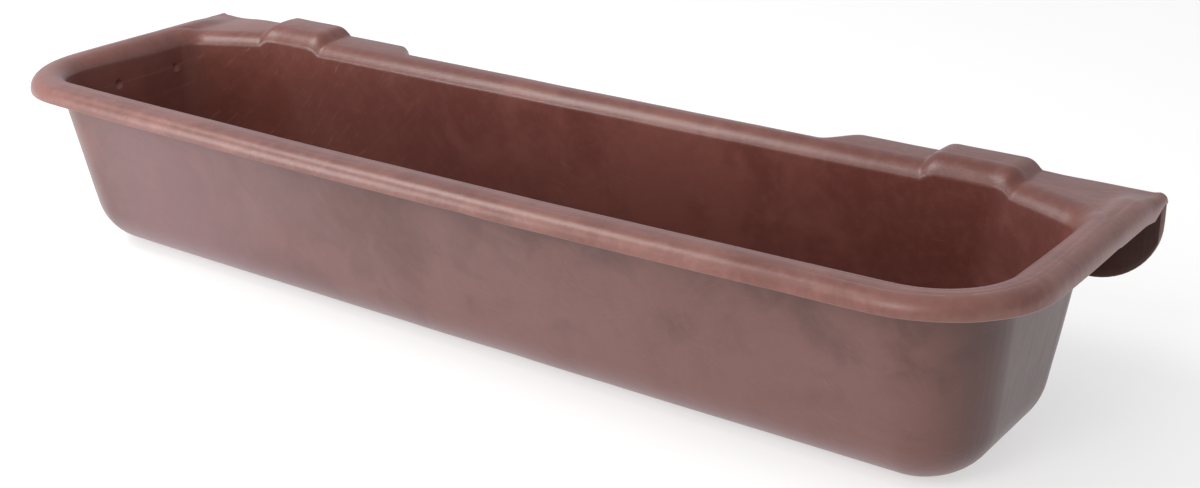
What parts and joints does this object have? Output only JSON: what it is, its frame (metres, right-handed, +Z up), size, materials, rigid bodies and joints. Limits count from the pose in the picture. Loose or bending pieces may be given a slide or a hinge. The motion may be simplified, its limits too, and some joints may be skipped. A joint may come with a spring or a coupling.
{
  "type": "hang-on planter trough",
  "caption": "Long tapered plastic trough with a rolled bead rim, a flat rear ledge with raised saddles, hanging hook flanges and lift-out drain bungs.",
  "frame": {"origin": "centre of the floor underside's bounding rectangle, on the surface the trough stands on", "axes": "+X along the length, +Y towards the rear ledge and hook flanges, +Z up"},
  "size_m": [1, 0.304, 0.174],
  "materials": {
    "moulded_plastic": "satin brown compression-moulded plastic with flow marks",
    "bung_rubber": "matte black rubber"
  },
  "bodies": {
    "trough": {"trough_shell": "moulded_plastic"},
    "left_bung": {"drain_bung_left": "bung_rubber"},
    "right_bung": {"drain_bung_right": "bung_rubber"}
  },
  "joints": [
    {"name": "left_bung_lift", "type": "slide", "parent": "trough", "child": "left_bung", "axis": [0, 0, 1], "range_m": [0, 0.03]},
    {"name": "right_bung_lift", "type": "slide", "parent": "trough", "child": "right_bung", "axis": [0, 0, 1], "range_m": [0, 0.03]}
  ]
}
